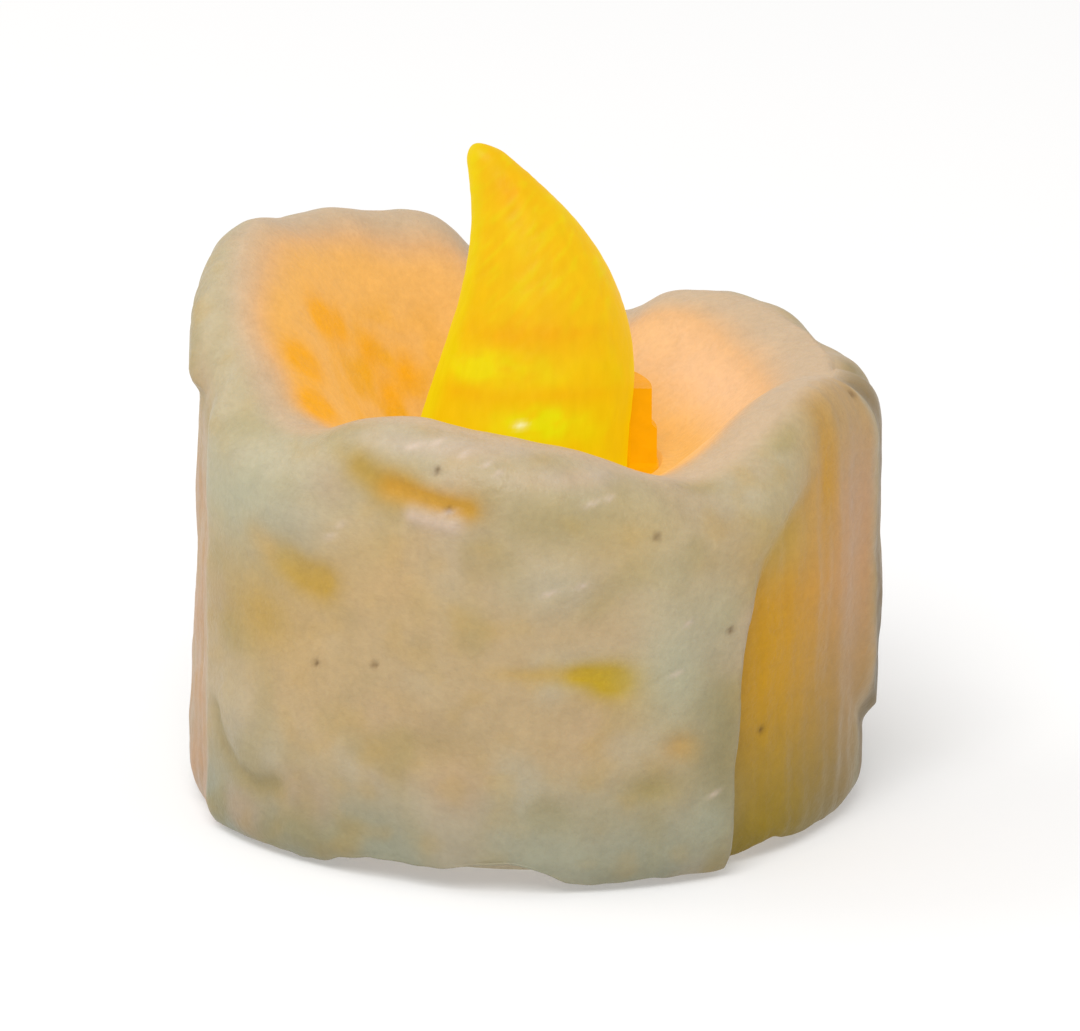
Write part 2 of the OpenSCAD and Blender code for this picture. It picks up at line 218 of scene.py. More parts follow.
def linear(colour):
    c = np.array(colour, float) / 255
    return np.where(c <= 0.04045, c / 12.92, ((c + 0.055) / 1.055) ** 2.4)


def seen(colour):
    """The paint that looks like this colour once the sheen is on it."""
    return np.maximum(linear(colour) - SHEEN, 0.001)


BEIGE = seen((192, 168, 129))
CREAM = seen((193, 180, 147))
STONE = seen((166, 165, 142))
GREY = seen((187, 178, 155))
ROSE = seen((196, 164, 134))
OLIVE = seen((166, 148, 92))
PEACH = seen((249, 187, 100))
BLUSH = seen((233, 184, 130))
PALE_PEACH = seen((246, 195, 142))
RIM_TINT = seen((208, 182, 150))
AMBER = seen((206, 154, 56))
STRAW = seen((198, 166, 92))
UMBER = seen((186, 148, 24))
# the pale colour of painted highlights
HIGHLIGHT_PEARL = seen((206, 186, 170))
HONEY = seen((203, 170, 116))
DUSK = seen((150, 140, 102))
SAGE = seen((184, 182, 156))
MOSS = seen((158, 140, 92))
DARK_MOSS = seen((100, 84, 14))
GOLD = seen((190, 158, 4))
DEEP_GOLD = seen((248, 177, 24))
ORANGE = seen((253, 176, 0))
SAND = seen((194, 161, 92))
SPECK = seen((112, 86, 58))
DRIP_BROWN = seen((136, 112, 72))
STRIP_PINK = seen((200, 158, 124))
# The bare wall right of the front coats: height, colour beside the coats, colour further right
# The bare wall's orange is partly painted light of the flame through the thin wax, and its darkness partly
# painted shade.
RECESS = (
    (0, (136, 119, 46), (138, 124, 86)),
    (5, (172, 140, 60), (162, 134, 84)),
    (10, (202, 152, 40), (184, 146, 94)),
    (15, (210, 156, 48), (204, 155, 104)),
    (19, (204, 160, 74), (200, 158, 118)),
    (24, (198, 162, 100), (192, 160, 112)),
)
NEAR_COLUMN, FAR_COLUMN = 1, 2
FLAME_YELLOW = seen((247, 197, 0))
FLAME_LEMON = seen((241, 217, 0))
FLAME_AMBER = seen((248, 180, 0))


def by_height(z, table, column):
    """The colours in one column of a table, run together by height."""
    heights = [row[0] for row in table]
    colours = np.array([seen(row[column]) for row in table])
    return np.stack([np.interp(z, heights, colours[:, i]) for i in range(3)], axis=-1)


def mix(under, over, amount):
    return under + (over - under) * np.clip(amount, 0, 1)[..., None]


# ---- marks in the wax ----

# Folds on the wall: points as (azimuth, height), half-width, rise, colour, strength of the colour
FOLDS = (
    # The amber and umber colours of the folds are painted light of the flame showing through the thin wax.
    (((-30, 23.8), (-26, 23.2), (-22, 22.9)), 0.75, -0.12, UMBER, 0.55),
    (((-24, 22.9), (-20, 22.7), (-15, 22.4), (-11, 22.2)), 0.6, -0.25, AMBER, 0.85),
    # painted highlight along the ridge under the fold above
    (((-20, 21.5), (-16, 21.3), (-13, 21.2)), 0.40, 0.2, HIGHLIGHT_PEARL, 0.75),
    (((-51, 18.8), (-48, 18.2)), 0.75, -0.1, AMBER, 0.75),
    (((-44, 17.6), (-41, 17.1), (-37, 16.9)), 0.9, -0.2, UMBER, 1.0),
    (((-62, 7.5), (-60, 5.6), (-56, 4.5), (-51, 4.0), (-47, 4.4)), 0.6, -0.3, MOSS, 0.6),
    (((150, 14.0), (156, 13.2), (163, 12.8)), 0.7, -0.2, AMBER, 0.7),
    (((-155, 19.0), (-148, 18.3), (-140, 18.4)), 0.7, -0.2, UMBER, 0.6),
    (((-120, 8.0), (-114, 7.1), (-108, 7.3)), 0.7, -0.2, MOSS, 0.6),
)
# A fold's colour is wider and stronger than its dent by these, and it glows this much more
FOLD_COLOUR_WIDTH, FOLD_COLOUR_GAIN, FOLD_GLOW = 1.35, 1.3, 0.1
# Lumps, hollows and patches of colour on the wall: azimuth, height, half-width, half-height, rise, colour,
# strength
LUMPS = (
    # The gold, amber and straw patches are painted light of the flame showing through the thin wax.
    (-42, 20.4, 2.8, 1.8, 0.5, GREY, 0.75),
    (-56, 20.5, 4.0, 3.2, 0.2, SAGE, 0.8),
    (-57, 14.5, 2.6, 3.2, 0.0, OLIVE, 0.4),
    (-41, 12.5, 3.0, 3.4, 0.0, HONEY, 0.5),
    (-24, 18.5, 4.2, 3.2, 0.0, HONEY, 0.55),
    (-25, 11.0, 4.5, 3.0, 0.15, BEIGE, 0.5),
    (4, 21.6, 3.6, 1.6, -0.2, OLIVE, 0.45),
    (15, 20.0, 2.4, 1.8, 0.0, SAND, 0.35),
    (17, 11.6, 1.8, 1.6, 0.0, SAND, 0.6),
    (29, 8.5, 1.9, 4.5, -0.1, DUSK, 0.75),
    (-56, 8.2, 2.6, 3.0, 0.55, GREY, 0.5),
    (-50, 14.0, 2.0, 1.8, -0.15, SAND, 0.9),
    # painted highlights along the front of the rim
    (-12, 25.3, 5.5, 0.5, 0.0, HIGHLIGHT_PEARL, 0.55),
    (8, 23.9, 4.0, 0.5, 0.0, HIGHLIGHT_PEARL, 0.5),
    (0, 3.0, 5.0, 2.5, 0.0, STONE, 0.6),
    (-17, 8.2, 2.6, 1.2, -0.4, OLIVE, 0.35),
    (2.5, 18.0, 2.8, 1.5, 0.4, GREY, 0.6),
    (20, 16.0, 1.7, 3.4, 0.4, CREAM, 0.6),
    (28, 3.6, 1.9, 1.8, 0.35, STONE, 0.9),
    (12, 12.4, 1.2, 0.9, -0.15, GOLD, 1.5),
    (7.5, 12.8, 1.2, 0.55, -0.1, GOLD, 1.3),
    (0, 12.9, 2.0, 0.4, -0.1, SAND, 0.7),
    (22, 12.4, 2.0, 3.4, 0.3, SAGE, 0.8),
    (30, 15.5, 1.8, 2.6, 0.0, SAGE, 0.5),
    (23, 8.2, 1.0, 0.8, -0.25, AMBER, 0.45),
    (18.5, 5.9, 1.4, 0.9, -0.3, OLIVE, 0.7),
    # painted shade: tones down the top right of the front, where the key light falls strongly
    (30, 21.0, 3.6, 2.2, 0.0, OLIVE, 0.1),
    (44, 18.6, 2.6, 1.8, 0.0, STRAW, 0.8),
    (60, 21.0, 1.0, 3.4, -0.1, AMBER, 0.9),
    (69, 15.0, 1.5, 8.6, 0.15, ROSE, 0.5),
    (110, 25.2, 3.0, 1.8, -0.55, CREAM, 0.2),
    (128, 18.0, 3.0, 2.5, 0.3, SAGE, 0.6),
    (147, 6.5, 1.6, 0.8, -0.15, GOLD, 0.8),
    (175, 9.0, 3.5, 2.5, 0.2, HONEY, 0.5),
    (190, 20.0, 3.0, 2.0, -0.1, OLIVE, 0.4),
    (215, 12.0, 3.0, 3.0, 0.25, CREAM, 0.6),
    (240, 17.0, 2.6, 3.0, 0.2, SAGE, 0.6),
    (93, 25.3, 0.8, 0.9, -0.45, BEIGE, 0.3),
    (87, 24.3, 1.5, 1.6, 0.5, BEIGE, 0.2),
)
LUMP_COLOUR_WIDTH = 1.1
# Specks on the wall: azimuth, height
SPECKS = (
    (-38, 12.1), (-16, 24.2), (-14, 22.0), (19, 20.5), (32, 14.5), (73, 24.7), (42, 7.7), (-27, 12.6),
    (35, 10.5), (-70, 17.5), (118, 13.0), (152, 19.0), (-128, 9.0), (-160, 16.0), (178, 6.0),
)
SPECK_R, SPECK_DEPTH, SPECK_STRENGTH = 0.2, 0.12, 0.8
# Painted highlights, small pale glints, on the front of the rim: azimuth, height, half-width
PAINTED_GLINTS = (
    (-21, 25.2, 0.5), (-17, 25.5, 0.35), (-12, 25.0, 0.3), (-8, 24.6, 0.3), (9, 22.6, 0.45),
    (12, 22.8, 0.3), (-14, 21.9, 0.45), (2, 17.6, 0.4), (7, 18.0, 0.3), (-6, 24.2, 0.25),
    (22, 12.6, 0.35), (24, 15.4, 0.3), (-35, 19.6, 0.4), (-33, 20.4, 0.3), (29, 5.2, 0.4),
)
GLINT_HALF_HEIGHT, GLINT_SLANT = 0.14, 0.3
GLINT_WHITE, GLINT_STRENGTH = HIGHLIGHT_PEARL * 1.2, 0.6
# Bright orange spots of painted light of the flame in the bowl: azimuth, radius, half-width, strength
BOWL_LIGHT_SPOTS = (
    (262, 12.3, 1.3, 1.1), (254, 11.7, 1.1, 0.9), (285, 13.5, 1.4, 1.1), (298, 13.8, 1.4, 1.1),
    (242, 10.8, 1.2, 0.7), (229, 10.0, 1.2, 0.7), (241, 9.6, 1.1, 0.7),
)
# Where the warm light in the bowl starts, as a radius, and where it reaches further: azimuth, spread, extra
WARM_R, WARM_FADE = 15.2, 4.0
WARM_REACH = ((245, 55, 1.4), (284, 22, 1.9), (155, 25, 1.0))
# Lumps of the whole skin: size, rise, seed
RELIEF = ((7.0, 0.32, 4), (3.0, 0.14, 5), (1.1, 0.03, 6))
RELIEF_SHIFT, BOWL_RELIEF = 0.08, 0.7
# Fine upright runs on the bare wall: width, length, rise, seed
FLUTE_WIDTH, FLUTE_LENGTH, FLUTE_RISE, FLUTE_SEED = 0.9, 14, 0.16, 7
# Clouds that the colours wander with: size, seed
CLOUDS = ((5.0, 8), (4.0, 9), (3.0, 10), (1.6, 11))
# Colours that come in clouds: which cloud, colour, strength, sharpness
CLOUD_TINTS = ((0, ROSE, 0.5, 1.6), (1, GREY, 0.5, 1.6), (2, OLIVE, 0.45, 1.8), (3, SAND, 0.3, 1.5))
WALL_GLOW, BARE_GLOW, RIM_GLOW, BOWL_GLOW = 0.12, 0.1, 0.1, 0.4
FOOT_SHADE = 0.16


# ---- meshes ----


def faces_of(rings, columns, closed):
    """Quads between neighbouring rings of a grid that goes round; closed joins the last ring to the first."""
    ring, column = np.meshgrid(np.arange(rings if closed else rings - 1), np.arange(columns), indexing="ij")
    after, beside = (ring + 1) % rings, (column + 1) % columns
    corners = ((ring, column), (ring, beside), (after, beside), (after, column))
    return np.stack([k * columns + i for k, i in corners], axis=-1).reshape(-1, 4).tolist()


def place(azimuth, radius, height):
    a = np.radians(azimuth)
    return np.stack(np.broadcast_arrays(radius * np.sin(a), -radius * np.cos(a), height), axis=-1)


def piece(name, points, faces, tint, glow):
    """A smooth mesh object from points in millimetres, with a painted colour and glow at each point."""
    mesh = bpy.data.meshes.new(name)
    mesh.from_pydata((points.reshape(-1, 3) * MM).tolist(), [], faces)
    mesh.shade_smooth()
    colours = np.concatenate([tint.reshape(-1, 3), np.ones((tint.size // 3, 1))], axis=1)
    layer = mesh.attributes.new("tint", "FLOAT_COLOR", "POINT")
    layer.data.foreach_set("color", colours.astype(np.float32).ravel())
    layer = mesh.attributes.new("glow", "FLOAT", "POINT")
    layer.data.foreach_set("value", glow.astype(np.float32).ravel())
    mesh.validate()
    thing = bpy.data.objects.new(name, mesh)
    bpy.context.scene.collection.objects.link(thing)
    return thing


def grid_normals(grid):
    across = np.roll(grid, -1, axis=1) - np.roll(grid, 1, axis=1)
    along = np.roll(grid, -1, axis=0) - np.roll(grid, 1, axis=0)
    normals = np.cross(across, along)
    return normals / np.maximum(np.linalg.norm(normals, axis=-1, keepdims=True), 1e-9)


# ---- the wax body ----

COLUMNS = 540
WALL_ROWS = 100
SHOULDER_ROWS = 20
WELL_ROWS = 50
# The wall's rows lie closer together low down
WALL_CROWDING = 1.1
# Small bevels on the bore's sharp edges and at its foot, and how far inside the wall the foot's flat ends
BEVEL, FOOT_BEVEL, FOOT_INSET = 0.05, 0.1, 0.4
# Heights of the bore's two rows between its bevels
BORE_ROWS = (12.0, 6.0)
# How far the skin keeps inside the CAD model's box
BOX_MARGIN = 0.02
ON_WALL, ON_SHOULDER, IN_BOWL, IN_BORE = range(4)


def ragged_bottom(a):
    """How high the wax ends above its CAD edge."""
    side, ring = turn(a, 0), place(a, WAX_R, 0.0 * a)
    raised = LONG_NICK_H * ramp(side, -40, -28) * ramp(side, 8, -4) + bumps(a, NICKS) + BOTTOM_LIFT
    raised = raised + sum(height * lumpy(ring, size, seed) for size, height, seed in BOTTOM_WAVER)
    return np.maximum(raised, 0)


def wax_grid():
    """The skin's points as azimuth, radius and height, and the zone that each is in."""
    a = np.linspace(0, 360, COLUMNS, endpoint=False)
    rim = rim_z(a) + RIM_WAVER * lumpy(place(a, CREST_R, 0 * a), RIM_WAVER_SIZE, 3)
    low = rim - SHOULDER_H
    bottom = WAX_LIFT + ragged_bottom(a)
    rows = []
    for k in range(WALL_ROWS):
        z = bottom + (low - bottom) * (k / WALL_ROWS) ** WALL_CROWDING
        rows.append((wall_r(a, z), z, ON_WALL))
    for k in range(SHOULDER_ROWS):
        t = math.pi / 2 * k / SHOULDER_ROWS
        out = wall_r(a, low)
        rows.append((CREST_R + (out - CREST_R) * math.cos(t), low + SHOULDER_H * math.sin(t), ON_SHOULDER))
    for k in range(WELL_ROWS + 1):
        share = 1 - k / WELL_ROWS
        rows.append((WELL_R + (CREST_R - WELL_R) * share, well_z(share, rim), IN_BOWL))
    for r, z in (
        (HOLE_R + BEVEL, WELL_Z), (HOLE_R, WELL_Z - BEVEL), (HOLE_R, BORE_TOP + BEVEL),
        (HOLE_R + BEVEL, BORE_TOP), (BORE_R - BEVEL, BORE_TOP), (BORE_R, BORE_TOP - BEVEL),
        *((BORE_R, height) for height in BORE_ROWS),
        (BORE_R, bottom + FOOT_BEVEL), (BORE_R + FOOT_BEVEL, bottom),
        (wall_r(a, bottom) - FOOT_INSET, bottom),
    ):
        rows.append((r, z, IN_BORE))
    r, z, zone = (np.array([np.broadcast_to(row[i], a.shape) for row in rows]) for i in range(3))
    return np.broadcast_to(a, r.shape), r, z, zone


def arc_of(side):
    """Distance along the wall from the front."""
    return np.radians(side) * WAX_R


def on_fold(arc, z, line, half_width):
    """How near each place on the wall is to a fold."""
    return stroke(arc, z, [(arc_of(azimuth), height) for azimuth, height in line], half_width)


def on_spot(a, z, azimuth, height, half_width, half_height):
    """How near each place on the wall is to a spot."""
    return mark(arc_of(turn(a, azimuth)), z - height, half_width, half_height)


def wax_relief(a, r, z, zone, points):
    """How far each point of the skin moves out along its normal."""
    outside, bowl = zone < IN_BOWL, zone == IN_BOWL
    side = turn(a, 0)
    arc = arc_of(side)
    rise = sum(height * lumpy(points, size, seed) for size, height, seed in RELIEF) - RELIEF_SHIFT
    rise = rise * (outside + BOWL_RELIEF * bowl * ramp(r, WELL_R, WELL_R + 2))
    for line, half_width, height, _, _ in FOLDS:
        rise += outside * height * on_fold(arc, z, line, half_width)
    for azimuth, up, half_width, half_height, height, _, _ in LUMPS:
        rise += outside * height * on_spot(a, z, azimuth, up, half_width, half_height)
    for azimuth, up in SPECKS:
        rise -= outside * SPECK_DEPTH * on_spot(a, z, azimuth, up, SPECK_R, SPECK_R)
    upright = np.stack([arc / FLUTE_WIDTH, z / FLUTE_LENGTH, 0 * z], axis=-1)
    rise += outside * (bare(side, z) + bare_left(side)) * FLUTE_RISE * lumpy(upright, 1.0, FLUTE_SEED)
    # the foot stays where it is
    return rise * ramp(z, WAX_LIFT, WAX_LIFT + 1.5)


def wall_paint(side, z, cloud):
    """Colour of the outer wall under its marks."""
    arc = arc_of(side)
    tint = mix(STONE, BEIGE, smooth((z - 1) / 8 + 0.2 * cloud[0]))
    tint = mix(tint, CREAM, 0.75 * smooth((z - 15) / 7 + 0.5 * cloud[1]))
    for which, colour, strength, sharpness in CLOUD_TINTS:
        tint = mix(tint, colour, strength * smooth(sharpness * cloud[which]))
    # painted shade: the wall is darker towards its foot
    tint = tint * (1 - FOOT_SHADE * ramp(z, 9, 0))[..., None]
    recess = mix(by_height(z, RECESS, NEAR_COLUMN), by_height(z, RECESS, FAR_COLUMN), ramp(side, 42, 70))
    # the bare wall's colours are partly painted light of the flame and partly painted shade
    tint = mix(tint, recess, 1.1 * bare(side, z))
    # the lower margin of the front coats is mossy
    tint = mix(tint, MOSS, 0.6 * bump(side, coat_edge(z) - 3.5, 2.5) * ramp(z, 12, 4))
    # the drip on the right is brown, with a dark spot low on it
    right_drip = ramp(side, 75, 79) * ramp(side, 108, 78)
    tint = mix(tint, DRIP_BROWN, right_drip * (0.85 + 0.3 * cloud[2]))
    tint = mix(tint, DARK_MOSS, 1.3 * right_drip * mark(arc - 27.4, z - 8.4, 1.8, 3.0))
    return mix(tint, STRIP_PINK, 0.8 * bare_left(side) * ramp(z, 24, 18) * (0.75 + 0.5 * cloud[2]))


def mark_paint(a, z, tint, glow):
    """The wall's colour and glow with its folds, lumps, specks and painted highlights."""
    arc = arc_of(turn(a, 0))
    for line, half_width, _, colour, strength in FOLDS:
        near = on_fold(arc, z, line, half_width * FOLD_COLOUR_WIDTH)
        tint = mix(tint, colour, FOLD_COLOUR_GAIN * strength * near)
        glow = glow + FOLD_GLOW * near
    for azimuth, up, half_width, half_height, _, colour, strength in LUMPS:
        near = on_spot(a, z, azimuth, up, half_width * LUMP_COLOUR_WIDTH, half_height * LUMP_COLOUR_WIDTH)
        tint = mix(tint, colour, strength * near)
    for azimuth, up in SPECKS:
        tint = mix(tint, SPECK, SPECK_STRENGTH * on_spot(a, z, azimuth, up, SPECK_R, SPECK_R))
    # painted highlights: small pale glints
    for azimuth, up, half_width in PAINTED_GLINTS:
        slanted = z - GLINT_SLANT * arc_of(turn(a, azimuth))
        near = on_spot(a, slanted, azimuth, up, half_width, GLINT_HALF_HEIGHT)
        tint = mix(tint, GLINT_WHITE, GLINT_STRENGTH * near)
    return tint, glow


def bowl_paint(a, r, points, warm, cloud):
    """Colour of the bowl: warm from painted light of the flame, with gold mottling and bright orange spots of
    that light, and a pale rim.
    """
    far = bump(a, 110, 70) * ramp(r, 8.5, 11.5)
    tint = mix(RIM_TINT, BLUSH, 2.0 * warm)
    tint = mix(tint, mix(PEACH, PALE_PEACH, far), ramp(warm, 0.35, 1))
    # painted light: gold mottling of the flame's light on the bowl's left
    gold = bump(a, 245, 30) * ramp(r, 12.6, 10.6) * smooth(0.55 + 1.2 * cloud[3] + 0.6 * cloud[2])
    tint = mix(tint, DEEP_GOLD, gold)
    # painted light: bright orange spots of the flame's light
    for azimuth, radius, half_width, strength in BOWL_LIGHT_SPOTS:
        height = well_z((radius - WELL_R) / (CREST_R - WELL_R), rim_z(azimuth))
        near = np.linalg.norm(points - place(azimuth, radius, height), axis=-1) + 0.25 * cloud[3]
        tint = mix(tint, ORANGE, 1.5 * strength * np.exp(-((near / half_width) ** 2)))
    return tint


def wax_paint(a, r, z, zone, points):
    """The painted colour of the skin and how much it glows."""
    side = turn(a, 0)
    cloud = [lumpy(points, size, seed) for size, seed in CLOUDS]
    tint = wall_paint(side, z, cloud)
    tint, glow = mark_paint(a, z, tint, WALL_GLOW + BARE_GLOW * bare(side, z))
    within = zone > ON_WALL
    warm = smooth((WARM_R + bumps(a, WARM_REACH) - r + 0.5 * cloud[0]) / WARM_FADE) * within
    inside = ramp(r, CREST_R + 1.5, CREST_R - 0.3) * within
    tint = mix(tint, bowl_paint(a, r, points, warm, cloud), inside)
    return tint, glow + inside * (RIM_GLOW + BOWL_GLOW * warm)


def make_wax():
    a, r, z, zone = wax_grid()
    grid = place(a, r, z)
    points = grid + grid_normals(grid) * wax_relief(a, r, z, zone, grid)[..., None]
    points = np.clip(points, BOX_LOW + BOX_MARGIN, BOX_HIGH - BOX_MARGIN)
    return piece("wax_body", points, faces_of(*z.shape, closed=True), *wax_paint(a, r, z, zone, points))


# ---- the flame ----

# Outlines of the flame's left and right edges, each a cubic through X and Z
FLAME_LEFT = ((-6.7, 21.5), (-5.0, 27.0), (-2.7, 31.5), (-4.1, 37.85))
FLAME_RIGHT = ((5.3, 21.5), (6.8, 29.8), (1.9, 34.3), (-2.5, 37.95))
# Depth over width, and the heights between which the flame changes from that to its round neck
FLAME_DEPTH = 0.8
FLAME_FLAT_FROM, FLAME_FLAT_TO = 18.5, 21.0
FLAME_WALL = 1.0
NECK_R = 5.2
NECK_Z = 17.0
# The neck is straight up to this share of its height
NECK_STRAIGHT = 0.42
# Where along the outline the tip starts to round off, from 0 to 1
TIP_START = 0.94
FLAME_COLUMNS = 160
FLAME_ROWS = 130
NECK_ROWS = 14
# The hollow ends where a ring's half-width is under this many times the wall
HOLLOW_END = 1.7
# Bright and dark bands in the flame: across, up, half-width, half-height, colour, strength
FLAME_BANDS = (
    (-0.5, 27.6, 4.2, 1.3, (248, 182, 0), 0.9),
    (-2.2, 25.7, 3.4, 1.0, (244, 222, 0), 1.0),
    (0.8, 24.2, 3.2, 0.6, (248, 184, 0), 0.9),
    (-3.6, 24.2, 2.0, 0.5, (248, 186, 0), 0.8),
    (0.2, 22.7, 2.4, 1.1, (236, 226, 0), 1.2),
    # a painted glint of the LED, low on the flame
    (-0.85, 22.7, 0.3, 0.18, (255, 250, 190), 1.3),
    (-1.6, 35.6, 0.9, 0.9, (250, 178, 0), 0.7),
)
# Feathery streaks that lean at 45 degrees: width, depth and length, the sine and cosine of that angle, and
# how far the streaks and the wider swellings stand out
STREAK_SIZE = (0.35, 0.7, 2.4)
STREAK_LEAN = 0.7
STREAK_RISE, SWELL_RISE = 0.02, 0.04
FLAME_GLOW = 0.8


def bezier(points, t):
    (a, b, c, d), u = np.array(points, float), 1 - t
    return u ** 3 * a + 3 * u * u * t * b + 3 * u * t * t * c + t ** 3 * d


def flame_rings():
    """Centre and half-width vector, in X and Z, of each ring from the neck to the tip."""
    rings = []
    left, right = bezier(FLAME_LEFT, 0.0), bezier(FLAME_RIGHT, 0.0)
    for k in range(NECK_ROWS):
        t = k / NECK_ROWS
        blend = ramp(t, NECK_STRAIGHT, 1)
        centre = np.array([(left[0] + right[0]) / 2 * blend, NECK_Z + (left[1] - NECK_Z) * t])
        half = NECK_R + ((right[0] - left[0]) / 2 - NECK_R) * blend
        rings.append((centre, np.array([half, 0.0])))
    for k in range(FLAME_ROWS):
        t = math.sin(math.pi / 2 * k / FLAME_ROWS)
        left, right = bezier(FLAME_LEFT, t), bezier(FLAME_RIGHT, t)
        closing = max(0.0, (t - TIP_START) / (1 - TIP_START))
        rings.append(((left + right) / 2, (right - left) / 2 * math.sqrt(1 - closing ** 2)))
    tip = (bezier(FLAME_LEFT, 1.0) + bezier(FLAME_RIGHT, 1.0)) / 2
    return rings, tip


def ring_points(centre, half, shrink=0.0):
    angle = np.linspace(0, 2 * math.pi, FLAME_COLUMNS, endpoint=False)
    size = np.linalg.norm(half)
    scale = (size - shrink) / size
    deep = FLAME_DEPTH + (1 - FLAME_DEPTH) * ramp(centre[1], FLAME_FLAT_TO, FLAME_FLAT_FROM)
    across = np.sin(angle) * scale
    depth = -deep * size * scale * np.cos(angle)
    return np.stack([centre[0] + half[0] * across, depth, centre[1] + half[1] * across], axis=-1)


def flame_faces(outer_rings, inner_rings):
    """Faces of the outer skin, its tip, the lining, the lining's flat top, and the rim that joins them below.
    The points are the outer rings from below, the tip, and the inner rings from above."""
    count = FLAME_COLUMNS
    tip = outer_rings * count
    top, low = tip + 1, tip + 1 + (inner_rings - 1) * count
    pairs = [(i, (i + 1) % count) for i in range(count)]
    faces = faces_of(outer_rings, count, closed=False)
    faces += [(tip - count + i, tip - count + j, tip) for i, j in pairs]
    faces += (np.array(faces_of(inner_rings, count, closed=False)) + top).tolist()
    faces.append([top + i for i in range(count)])
    faces += [(low + i, low + j, j, i) for i, j in pairs]
    return faces


def flame_paint(plain, outer, streak, wide, speckle):
    """Colour of the outer skin: the LED's light lies in bands near the foot, the streaks show higher up."""
    x, z = plain[..., 0], plain[..., 2]
    high = ramp(z, 27, 30)
    tint = mix(FLAME_YELLOW, FLAME_LEMON, 0.4 * high * smooth(2.0 * streak - 0.1))
    tint = mix(tint, FLAME_AMBER, 0.2 * high * smooth(-2.2 * streak - 0.2))
    tint = mix(tint, FLAME_LEMON, 0.3 * smooth(1.5 * wide))
    for across, up, half_width, half_height, colour, strength in FLAME_BANDS:
        blotch = mark(x - across, z - up, half_width, half_height) * (0.9 + 0.9 * wide + 0.5 * speckle)
        tint = mix(tint, seen(colour), strength * blotch)
    # painted light: the flame's left edge is lighter
    lit_left_edge = smooth((outer[..., 0].min(axis=1, keepdims=True) + 1.0 - x) / 0.9)
    return mix(tint, FLAME_LEMON, 0.7 * lit_left_edge)


def make_flame():
    rings, tip = flame_rings()
    plain = np.array([ring_points(centre, half) for centre, half in rings])
    x, y, z = plain[..., 0], plain[..., 1], plain[..., 2]
    leaning = np.stack([x * STREAK_LEAN - z * STREAK_LEAN, y, x * STREAK_LEAN + z * STREAK_LEAN], axis=-1)
    streak = lumpy(leaning / STREAK_SIZE, 1.0, 21)
    wide = lumpy(plain, 2.2, 23) + 0.5 * lumpy(plain, 0.9, 22)
    speckle = lumpy(plain, 0.5, 24)
    # the relief fades out at the foot and at the tip
    rise = (STREAK_RISE * streak + SWELL_RISE * wide) * ramp(z, WELL_Z, WELL_Z + 3) * ramp(z, 37.4, 35.9)
    outer = np.clip(plain + grid_normals(plain) * rise[..., None], BOX_LOW, BOX_HIGH - BOX_MARGIN)
    thick = [(centre, half) for centre, half in rings if np.linalg.norm(half) > HOLLOW_END * FLAME_WALL]
    inner = np.array([ring_points(centre, half, FLAME_WALL) for centre, half in thick])[::-1]
    peak = [[tip[0], 0.0, min(tip[1], BOX_HIGH[2])]]
    points = np.concatenate([outer.reshape(-1, 3), peak, inner.reshape(-1, 3)])
    tint = flame_paint(plain, outer, streak, wide, speckle).reshape(-1, 3)
    tint = np.concatenate([tint, np.tile(FLAME_YELLOW, (len(points) - len(tint), 1))])
    glow = np.full(len(points), FLAME_GLOW)
    return piece("flame_shell", points, flame_faces(len(outer), len(inner)), tint, glow)


# ---- materials ----


def shader(name):
    material = bpy.data.materials.new(name)
    material.use_nodes = True
    tree = material.node_tree
    return material, tree, tree.nodes["Principled BSDF"]


def node(tree, kind, **values):
    """A shader node; a value is a property of the node or one of its inputs, with underscores for spaces."""
    made = tree.nodes.new("ShaderNode" + kind)
    for key, value in values.items():
        if hasattr(made, key):
            setattr(made, key, value)
        else:
            made.inputs[key.replace("_", " ")].default_value = value
    return made


def grain(tree, scale, detail=3.0, stretch=(1, 1, 1)):
    """Noise with features 1/scale metres across, in the object's own space."""
    where = node(tree, "TexCoord")
    mapping = node(tree, "Mapping", Scale=stretch)
    tree.links.new(where.outputs["Object"], mapping.inputs["Vector"])
    texture = node(tree, "TexNoise", Scale=scale, Detail=detail)
    tree.links.new(mapping.outputs["Vector"], texture.inputs["Vector"])
    return texture.outputs["Fac"]


def spread(tree, value, low, high):
    """The value's 0.3 to 0.7, which is most of what noise gives, stretched over low to high."""
    made = node(tree, "MapRange", From_Min=0.3, From_Max=0.7, To_Min=low, To_Max=high)
    tree.links.new(value, made.inputs["Value"])
    return made.outputs["Result"]


def times(tree, colour, value):
    """A colour multiplied by a grey value, which is a number or a node's output."""
    made = node(tree, "VectorMath", operation="SCALE")
    tree.links.new(colour, made.inputs[0])
    if isinstance(value, float):
        made.inputs["Scale"].default_value = value
    else:
        tree.links.new(value, made.inputs["Scale"])
    return made.outputs["Vector"]


def dent(tree, bsdf, *layers):
    """Bumps from (height, distance in metres) pairs, each laid over the one before."""
    before = None
    for height, distance in layers:
        made = node(tree, "Bump", Strength=1.0, Distance=distance)
        tree.links.new(height, made.inputs["Height"])
        if before:
            tree.links.new(before, made.inputs["Normal"])
        before = made.outputs["Normal"]
    tree.links.new(before, bsdf.inputs["Normal"])


